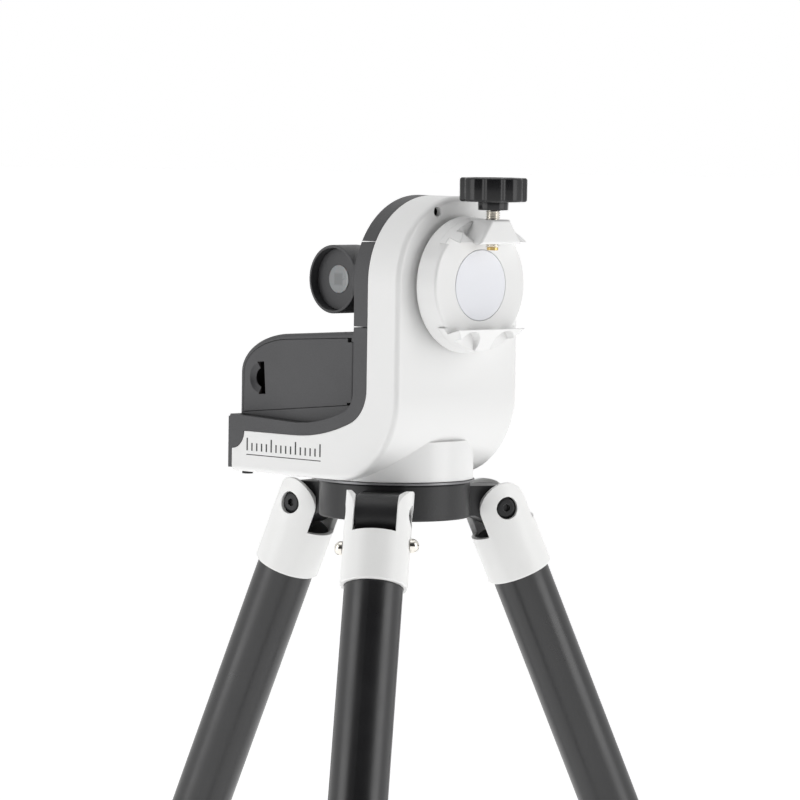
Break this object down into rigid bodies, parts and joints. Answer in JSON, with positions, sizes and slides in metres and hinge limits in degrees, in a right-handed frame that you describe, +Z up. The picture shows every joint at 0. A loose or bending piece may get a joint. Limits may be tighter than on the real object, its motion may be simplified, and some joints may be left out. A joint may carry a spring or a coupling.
{
  "type": "alt-azimuth telescope mount on a tripod",
  "caption": "Motor-driven single-arm telescope mount with a round sun sensor, battery box and clamp saddle, on a folding tripod with telescoping legs.",
  "frame": {"origin": "on the azimuth axis, in the plane that the feet stand on", "axes": "+Z up along the azimuth axis, +X along the altitude axis towards the saddle, -Y towards the side that the sensor and the battery door face"},
  "size_m": [0.5366, 0.5731, 0.7699],
  "materials": {
    "white_paint": "glossy off-white paint",
    "white_plastic": "smooth white plastic",
    "cap_face": "cool white satin disc",
    "dark_plastic": "fine-textured charcoal plastic",
    "black_cast": "black satin casting",
    "black_tube": "black satin anodised",
    "bare_tube": "brushed aluminium",
    "black_plastic": "moulded black plastic",
    "knob_black": "glossy black plastic",
    "nickel": "bright nickel plate",
    "black_steel": "black oxide",
    "steel": "plain steel",
    "brass": "machined brass",
    "bronze": "sintered bronze",
    "window": "milky diffuser",
    "rubber": "black rubber",
    "board": "green board",
    "cell": "plain cell sleeve",
    "vial": "green level vial",
    "grey_ring": "grey anodised"
  },
  "bodies": {
    "stand": {"tripod_hub": "black_cast", "hub_bolt": "black_steel", "pivot_bolts": "black_steel", "azimuth_base": "grey_ring", "azimuth_gear": "brass"},
    "head": {"main_shell": "white_paint", "inner_cover_low": "dark_plastic", "inner_cover_top": "dark_plastic", "sensor_cover": "dark_plastic", "cover_screws": "black_steel", "battery_housing": "dark_plastic", "battery_tray": "black_plastic", "battery_cells": "cell", "azimuth_bush": "bronze", "azimuth_motor": "steel", "altitude_motor": "steel", "altitude_bearings": "steel", "control_board": "board", "socket_panel": "black_plastic", "bubble_level": "vial", "shelf_pad": "rubber"},
    "azimuth_pinion": {"azimuth_pinion": "steel"},
    "altitude_pinion": {"altitude_pinion": "steel"},
    "door": {"battery_door": "dark_plastic"},
    "button": {"power_button": "knob_black"},
    "altitude": {"altitude_shaft": "steel", "altitude_gear": "brass", "saddle_plate": "white_paint", "saddle_cap": "cap_face", "saddle_screw": "steel", "sensor_barrel": "dark_plastic", "sensor_plate": "dark_plastic", "sensor_window": "window"},
    "clamp_tip": {"clamp_tip": "brass"},
    "clamp": {"clamp_screw": "nickel", "clamp_knob": "knob_black"},
    "leg_1": {"leg_clevis_1": "white_plastic", "leg_plug_1": "black_plastic", "upper_tube_1": "black_tube", "leg_lock_1": "black_plastic", "dome_screws": "nickel"},
    "extension_1": {"lower_tube_1": "bare_tube", "foot_1": "rubber"},
    "lever_1": {"lock_lever_1": "black_plastic"},
    "leg_2": {"leg_clevis_2": "white_plastic", "leg_plug_2": "black_plastic", "upper_tube_2": "black_tube", "leg_lock_2": "black_plastic"},
    "extension_2": {"lower_tube_2": "bare_tube", "foot_2": "rubber"},
    "lever_2": {"lock_lever_2": "black_plastic"},
    "leg_3": {"leg_clevis_3": "white_plastic", "leg_plug_3": "black_plastic", "upper_tube_3": "black_tube", "leg_lock_3": "black_plastic"},
    "extension_3": {"lower_tube_3": "bare_tube", "foot_3": "rubber"},
    "lever_3": {"lock_lever_3": "black_plastic"}
  },
  "joints": [
    {"name": "azimuth_turn", "type": "hinge", "parent": "stand", "child": "head", "pos_m": [0, 0, 0.60286], "axis": [0, 0, 1], "continuous": true},
    {"name": "altitude_turn", "type": "hinge", "parent": "head", "child": "altitude", "pos_m": [0, 0, 0.71186], "axis": [1, 0, 0], "continuous": true},
    {"name": "azimuth_pinion_spin", "type": "hinge", "parent": "head", "child": "azimuth_pinion", "pos_m": [0, 0.0288, 0.61786], "axis": [0, 0, 1], "continuous": true},
    {"name": "altitude_pinion_spin", "type": "hinge", "parent": "head", "child": "altitude_pinion", "pos_m": [0.033, 0, 0.66986], "axis": [1, 0, 0], "continuous": true},
    {"name": "door_hinge", "type": "hinge", "parent": "head", "child": "door", "pos_m": [0.0051, -0.0377, 0.66286], "axis": [0, 0, 1], "range_deg": [0, 75]},
    {"name": "button_press", "type": "slide", "parent": "head", "child": "button", "axis": [0, -1, 0], "range_m": [0, 0.0014], "stiffness_N_per_m": 400, "springref_m": -0.001},
    {"name": "clamp_advance", "type": "slide", "parent": "altitude", "child": "clamp_tip", "axis": [0, 0, 1], "range_m": [-0.0048, 0.00501]},
    {"name": "clamp_turn", "type": "hinge", "parent": "clamp_tip", "child": "clamp", "pos_m": [0.0723, 0, 0.76186], "axis": [0, 0, 1], "range_deg": [-1380, 1440]},
    {"name": "leg_1_fold", "type": "hinge", "parent": "stand", "child": "leg_1", "pos_m": [0.03655, -0.04746, 0.58736], "axis": [0.7923, 0.6101, 0], "range_deg": [0, 23.4]},
    {"name": "leg_1_extend", "type": "slide", "parent": "leg_1", "child": "extension_1", "axis": [0.2423, -0.3147, -0.9178], "range_m": [0, 0.3]},
    {"name": "lever_1_flip", "type": "hinge", "parent": "leg_1", "child": "lever_1", "pos_m": [0.17907, -0.25055, 0.07627], "axis": [0.2423, -0.3147, -0.9178], "range_deg": [0, 80]},
    {"name": "leg_2_fold", "type": "hinge", "parent": "stand", "child": "leg_2", "pos_m": [0.02283, 0.05538, 0.58736], "axis": [-0.9245, 0.3811, 0], "range_deg": [0, 23.4]},
    {"name": "leg_2_extend", "type": "slide", "parent": "leg_2", "child": "extension_2", "axis": [0.1513, 0.3672, -0.9178], "range_m": [0, 0.3]},
    {"name": "lever_2_flip", "type": "hinge", "parent": "leg_2", "child": "lever_2", "pos_m": [0.12745, 0.28035, 0.07627], "axis": [0.1513, 0.3672, -0.9178], "range_deg": [0, 80]},
    {"name": "leg_3_fold", "type": "hinge", "parent": "stand", "child": "leg_3", "pos_m": [-0.05937, -0.00792, 0.58736], "axis": [0.1323, -0.9912, 0], "range_deg": [0, 23.4]},
    {"name": "leg_3_extend", "type": "slide", "parent": "leg_3", "child": "extension_3", "axis": [-0.3937, -0.0525, -0.9178], "range_m": [0, 0.3]},
    {"name": "lever_3_flip", "type": "hinge", "parent": "leg_3", "child": "lever_3", "pos_m": [-0.30652, -0.0298, 0.07627], "axis": [-0.3937, -0.0525, -0.9178], "range_deg": [0, 80]}
  ],
  "couplings": [
    {"joint": "azimuth_pinion_spin", "follows": "azimuth_turn", "ratio": 5},
    {"joint": "altitude_pinion_spin", "follows": "altitude_turn", "ratio": -6},
    {"joint": "clamp_advance", "follows": "clamp_turn", "m_per_rad": 0.00019894}
  ]
}
